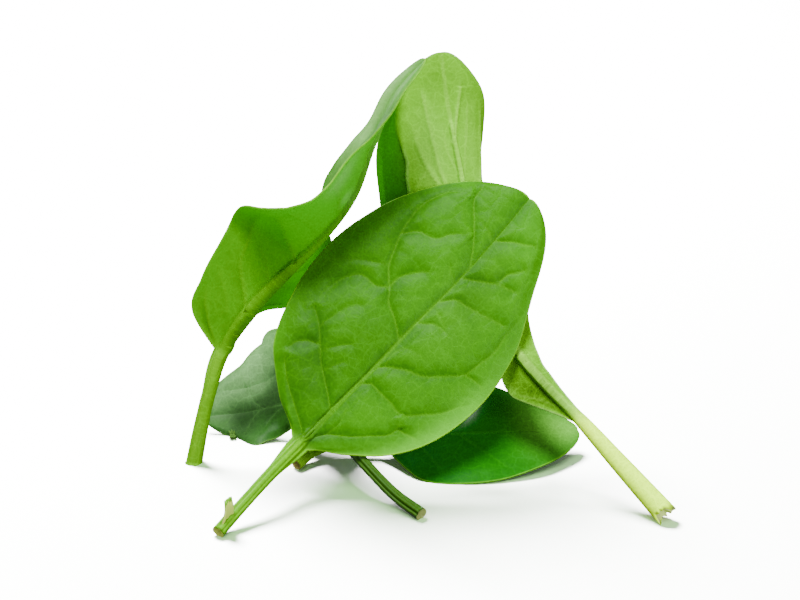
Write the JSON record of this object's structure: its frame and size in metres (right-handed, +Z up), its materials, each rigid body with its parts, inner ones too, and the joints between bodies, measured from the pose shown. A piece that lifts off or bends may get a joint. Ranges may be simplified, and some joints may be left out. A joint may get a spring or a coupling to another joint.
{
  "type": "spinach bunch",
  "caption": "Small loose bunch of whole fresh spinach leaves on their stalks, leaning together and lying as if just set down.",
  "frame": {"origin": "centre of the bounding box at the surface the bunch rests on", "axes": "+X to the right as seen from the front, where the large front leaf shows its upper face; +Y away from that viewer; +Z up"},
  "size_m": [0.1082, 0.0698, 0.0906],
  "materials": {
    "front_leaf_green": "fresh leaf, mid green upper face with pale veins, soft waxy sheen",
    "left_leaf_green": "fresh leaf, bright yellow-green where light comes through, soft waxy sheen",
    "back_leaf_green": "fresh leaf, pale matt underside and a thick pale stalk",
    "right_floor_leaf_green": "fresh leaf, dark green upper face with a soft sheen",
    "left_floor_leaf_green": "fresh leaf, grey-green sheen on its upper face"
  },
  "bodies": {
    "root": {"front_leaf": "front_leaf_green", "left_leaf": "left_leaf_green", "back_leaf": "back_leaf_green", "right_floor_leaf": "right_floor_leaf_green", "left_floor_leaf": "left_floor_leaf_green"}
  },
  "joints": []
}
